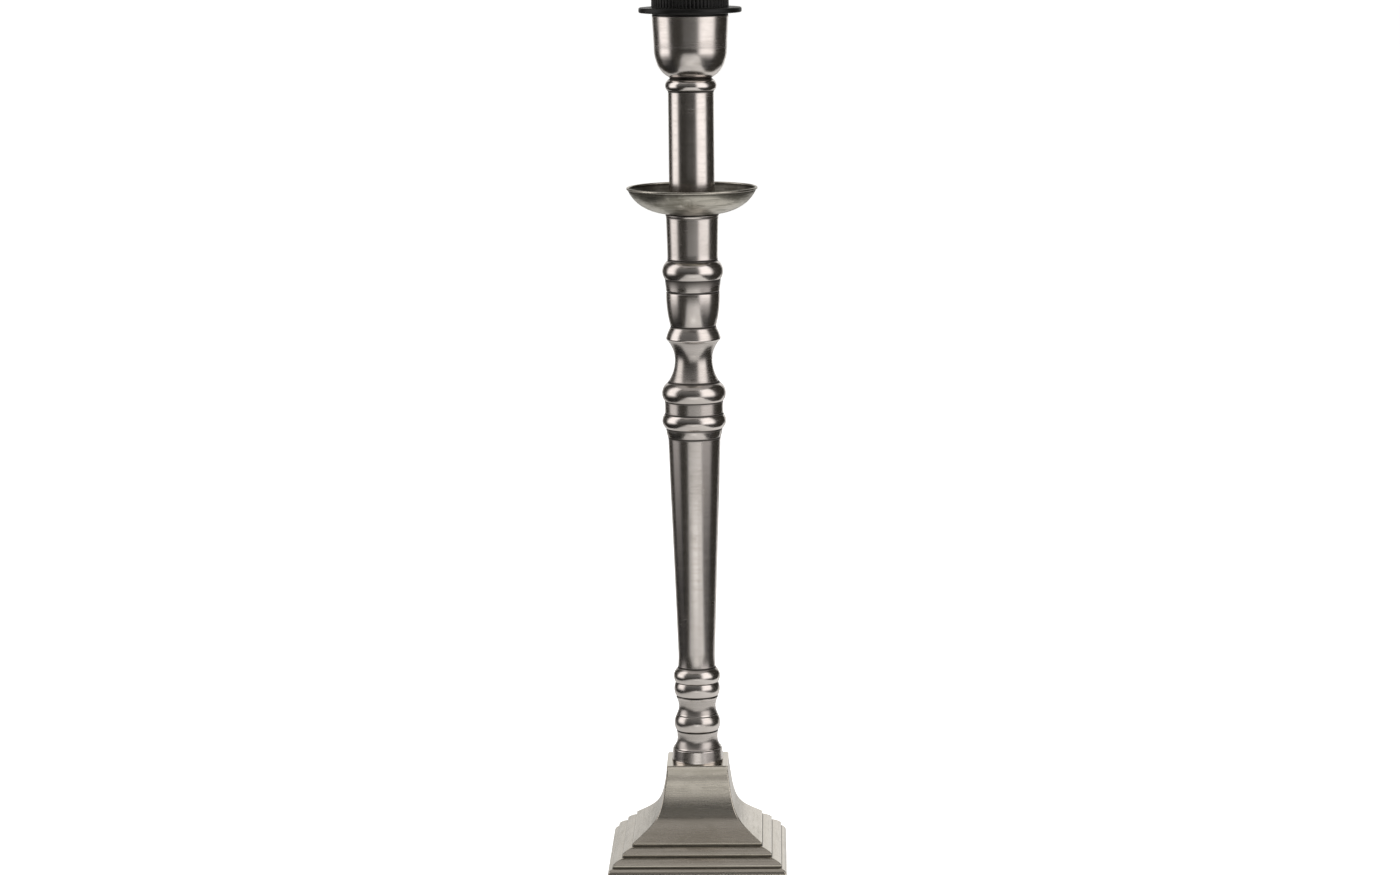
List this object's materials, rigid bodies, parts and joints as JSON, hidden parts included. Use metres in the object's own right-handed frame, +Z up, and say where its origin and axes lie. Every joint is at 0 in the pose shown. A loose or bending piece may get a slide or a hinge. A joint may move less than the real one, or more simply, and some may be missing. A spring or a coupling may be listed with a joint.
{
  "type": "candlestick table lamp base",
  "caption": "Candlestick-shaped table lamp base: square moulded foot, turned metal column, drip pan, candle tube and E27 lampholder with a shade ring.",
  "frame": {"origin": "centre of the felt underside, on the axis of the column", "axes": "+Z up the column, +Y towards the back where the cord leaves the foot, -Y towards the viewer"},
  "size_m": [0.1, 0.1012, 0.5126],
  "materials": {
    "base_silver": "cast brass, nickel-silver plated, brushed and antiqued, dark in the grooves",
    "column_silver": "turned brass, nickel-silver plated, fine rings from the lathe, lightly antiqued",
    "pan_silver": "spun brass, nickel-silver plated, mottled and antiqued",
    "black_plastic": "satin moulded black plastic",
    "felt": "dark green felt",
    "cast_iron": "sand-cast, unpainted",
    "zinc_steel": "zinc plated",
    "brass": "plain machined brass",
    "steatite": "unglazed steatite"
  },
  "bodies": {
    "lamp": {"felt_pad": "felt", "base_cover": "zinc_steel", "base_weight": "cast_iron", "base_shell": "base_silver", "cord_bush": "black_plastic", "base_washer": "zinc_steel", "base_lock_washer": "zinc_steel", "base_nut": "brass", "threaded_tube": "zinc_steel", "column_foot": "column_silver", "spool": "column_silver", "lower_knop": "column_silver", "tapered_shaft": "column_silver", "twin_bead_knop": "column_silver", "waist": "column_silver", "barrel_knop": "column_silver", "upper_knop": "column_silver", "upper_sleeve": "column_silver", "drip_pan": "pan_silver", "candle_tube": "column_silver", "centring_discs": "zinc_steel", "neck_ring": "column_silver", "holder_cup": "column_silver", "cup_washer": "zinc_steel", "cup_nut": "brass", "holder_cap": "black_plastic", "cap_grub_screw": "zinc_steel", "contact_block": "steatite", "centre_terminal": "brass", "side_contact": "brass", "terminal_screws": "brass", "contact_spring": "zinc_steel", "holder_skirt": "black_plastic"},
    "ring": {"shade_ring": "black_plastic"},
    "plunger": {"centre_contact": "brass"}
  },
  "joints": [
    {"name": "shade_ring_travel", "type": "slide", "parent": "lamp", "child": "ring", "axis": [0, 0, 1], "range_m": [0, 0.026]},
    {"name": "centre_contact_press", "type": "slide", "parent": "lamp", "child": "plunger", "axis": [0, 0, -1], "range_m": [0, 0.0015], "stiffness_N_per_m": 800, "springref_m": -0.001, "deforming": ["contact_spring"]}
  ]
}
